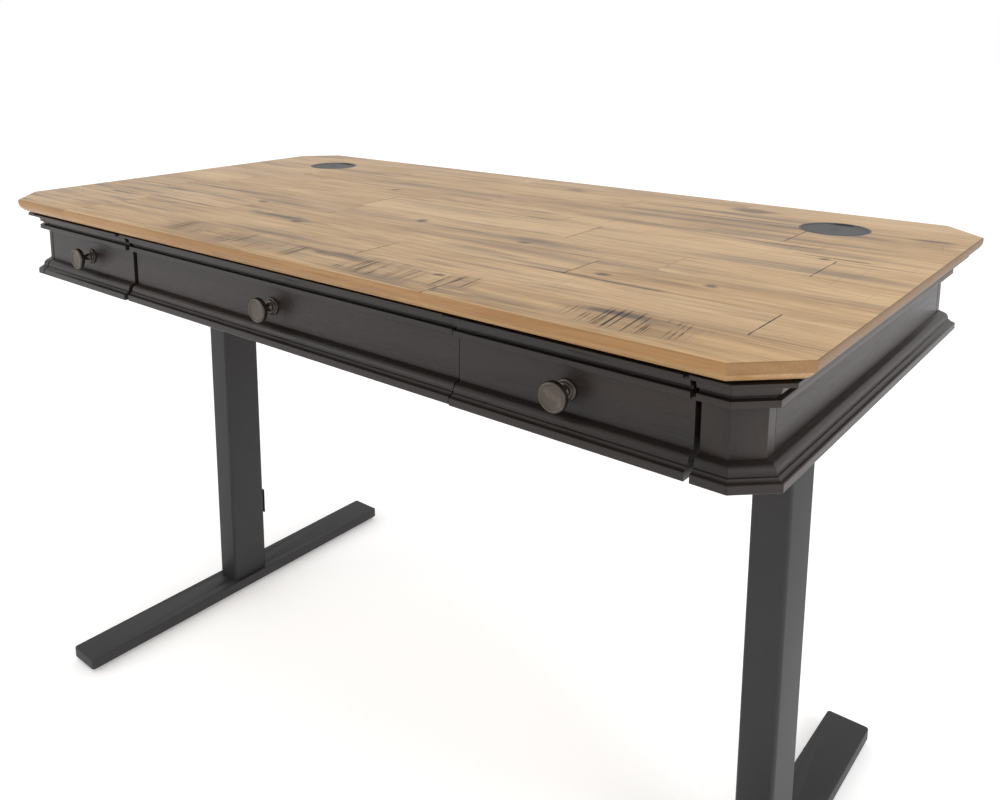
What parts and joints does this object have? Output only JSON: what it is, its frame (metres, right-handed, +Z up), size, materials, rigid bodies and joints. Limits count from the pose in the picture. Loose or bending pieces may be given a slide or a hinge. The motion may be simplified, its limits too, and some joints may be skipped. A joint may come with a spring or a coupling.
{
  "type": "height adjustable standing desk",
  "caption": "Oak desk top with cut corners on a dark moulded apron with three drawers, carried by two telescopic steel columns on long T feet that lift it to standing height.",
  "frame": {"origin": "on the floor under the middle of the desktop", "axes": "+X along the desk to the right seen from the drawer side, +Y to the back, +Z up"},
  "size_m": [1.372, 0.742, 0.848],
  "materials": {
    "oak_top": "matt oiled oak, honey brown with grey streaks and saw marks",
    "dark_wood": "satin espresso stain, faint grain",
    "carcass_wood": "dark stained softwood",
    "drawer_wood": "clear lacquered birch",
    "runner_steel": "zinc plated",
    "knob_metal": "dark bronze, satin",
    "frame_paint": "charcoal powder coat, fine texture",
    "screw_steel": "zinc plated",
    "nut_brass": "machined",
    "black_plastic": "fine moulded texture",
    "grommet_plastic": "dark grey, fine moulded texture",
    "button_rubber": "matt",
    "gearbox_cast": "cast, dull",
    "motor_paint": "black enamel",
    "cable_rubber": "matt jacket"
  },
  "bodies": {
    "base": {"foot_left": "frame_paint", "foot_right": "frame_paint", "column_outer_left": "frame_paint", "column_outer_right": "frame_paint", "column_base_plates": "frame_paint", "foot_bolts": "screw_steel", "guide_bushes": "black_plastic", "nut_tubes": "screw_steel", "drive_nuts": "nut_brass", "cable_clip": "black_plastic"},
    "desk": {"desktop": "oak_top", "side_panel_left": "dark_wood", "side_panel_right": "dark_wood", "back_panel": "dark_wood", "corner_posts_front": "dark_wood", "corner_posts_back": "dark_wood", "crown_moulding": "dark_wood", "base_moulding": "dark_wood", "drawer_partitions": "carcass_wood", "drawer_rail": "carcass_wood", "column_inner_left": "frame_paint", "column_inner_right": "frame_paint", "inner_glides": "black_plastic", "top_brackets": "frame_paint", "crossbeams": "frame_paint", "gearboxes": "gearbox_cast", "motors": "motor_paint", "control_box": "black_plastic", "mains_inlet": "black_plastic", "handset": "black_plastic", "handset_cable": "cable_rubber", "motor_cables": "cable_rubber", "grommet_liners": "grommet_plastic", "bracket_screws": "screw_steel", "cabinet_runners": "runner_steel"},
    "drawer_left": {"drawer_front_left": "dark_wood", "drawer_box_left": "drawer_wood", "drawer_runners_left": "runner_steel", "knob_left": "knob_metal"},
    "runner_left": {"middle_runners_left": "runner_steel"},
    "drawer_middle": {"drawer_front_middle": "dark_wood", "drawer_box_middle": "drawer_wood", "drawer_runners_middle": "runner_steel", "knob_middle": "knob_metal"},
    "runner_middle": {"middle_runners_middle": "runner_steel"},
    "drawer_right": {"drawer_front_right": "dark_wood", "drawer_box_right": "drawer_wood", "drawer_runners_right": "runner_steel", "knob_right": "knob_metal"},
    "runner_right": {"middle_runners_right": "runner_steel"},
    "screw_left": {"lead_screw_left": "screw_steel"},
    "cap_left": {"grommet_cap_left": "grommet_plastic"},
    "screw_right": {"lead_screw_right": "screw_steel"},
    "cap_right": {"grommet_cap_right": "grommet_plastic"},
    "up_key": {"up_button": "button_rubber"},
    "down_key": {"down_button": "button_rubber"},
    "leveller_front_left_pad": {"leveller_front_left": "black_plastic"},
    "leveller_back_left_pad": {"leveller_back_left": "black_plastic"},
    "leveller_front_right_pad": {"leveller_front_right": "black_plastic"},
    "leveller_back_right_pad": {"leveller_back_right": "black_plastic"}
  },
  "joints": [
    {"name": "lift", "type": "slide", "parent": "base", "child": "desk", "axis": [0, 0, 1], "range_m": [-0.115, 0.36]},
    {"name": "drawer_left_slide", "type": "slide", "parent": "desk", "child": "drawer_left", "axis": [0, -1, 0], "range_m": [0, 0.2]},
    {"name": "runner_left_slide", "type": "slide", "parent": "desk", "child": "runner_left", "axis": [0, -1, 0], "range_m": [0, 0.1]},
    {"name": "drawer_middle_slide", "type": "slide", "parent": "desk", "child": "drawer_middle", "axis": [0, -1, 0], "range_m": [0, 0.2]},
    {"name": "runner_middle_slide", "type": "slide", "parent": "desk", "child": "runner_middle", "axis": [0, -1, 0], "range_m": [0, 0.1]},
    {"name": "drawer_right_slide", "type": "slide", "parent": "desk", "child": "drawer_right", "axis": [0, -1, 0], "range_m": [0, 0.2]},
    {"name": "runner_right_slide", "type": "slide", "parent": "desk", "child": "runner_right", "axis": [0, -1, 0], "range_m": [0, 0.1]},
    {"name": "screw_left_spin", "type": "hinge", "parent": "desk", "child": "screw_left", "pos_m": [-0.551, 0, 0.4], "axis": [0, 0, 1], "range_deg": [-2600, 8120]},
    {"name": "cap_left_turn", "type": "hinge", "parent": "desk", "child": "cap_left", "pos_m": [-0.513, 0.246, 0.8465], "axis": [0, 0, 1], "continuous": true},
    {"name": "screw_right_spin", "type": "hinge", "parent": "desk", "child": "screw_right", "pos_m": [0.551, 0, 0.4], "axis": [0, 0, 1], "range_deg": [-2600, 8120]},
    {"name": "cap_right_turn", "type": "hinge", "parent": "desk", "child": "cap_right", "pos_m": [0.513, 0.246, 0.8465], "axis": [0, 0, 1], "continuous": true},
    {"name": "up_press", "type": "slide", "parent": "desk", "child": "up_key", "axis": [0, 0, 1], "range_m": [0, 0.0008], "stiffness_N_per_m": 1500},
    {"name": "down_press", "type": "slide", "parent": "desk", "child": "down_key", "axis": [0, 0, 1], "range_m": [0, 0.0008], "stiffness_N_per_m": 1500},
    {"name": "leveller_front_left_set", "type": "slide", "parent": "base", "child": "leveller_front_left_pad", "axis": [0, 0, 1], "range_m": [-0.004, 0.002]},
    {"name": "leveller_back_left_set", "type": "slide", "parent": "base", "child": "leveller_back_left_pad", "axis": [0, 0, 1], "range_m": [-0.004, 0.002]},
    {"name": "leveller_front_right_set", "type": "slide", "parent": "base", "child": "leveller_front_right_pad", "axis": [0, 0, 1], "range_m": [-0.004, 0.002]},
    {"name": "leveller_back_right_set", "type": "slide", "parent": "base", "child": "leveller_back_right_pad", "axis": [0, 0, 1], "range_m": [-0.004, 0.002]}
  ],
  "couplings": [
    {"joint": "runner_left_slide", "follows": "drawer_left_slide", "ratio": 0.5},
    {"joint": "runner_middle_slide", "follows": "drawer_middle_slide", "ratio": 0.5},
    {"joint": "runner_right_slide", "follows": "drawer_right_slide", "ratio": 0.5},
    {"joint": "screw_left_spin", "follows": "lift", "rad_per_m": 392.7},
    {"joint": "screw_right_spin", "follows": "lift", "rad_per_m": 392.7}
  ]
}
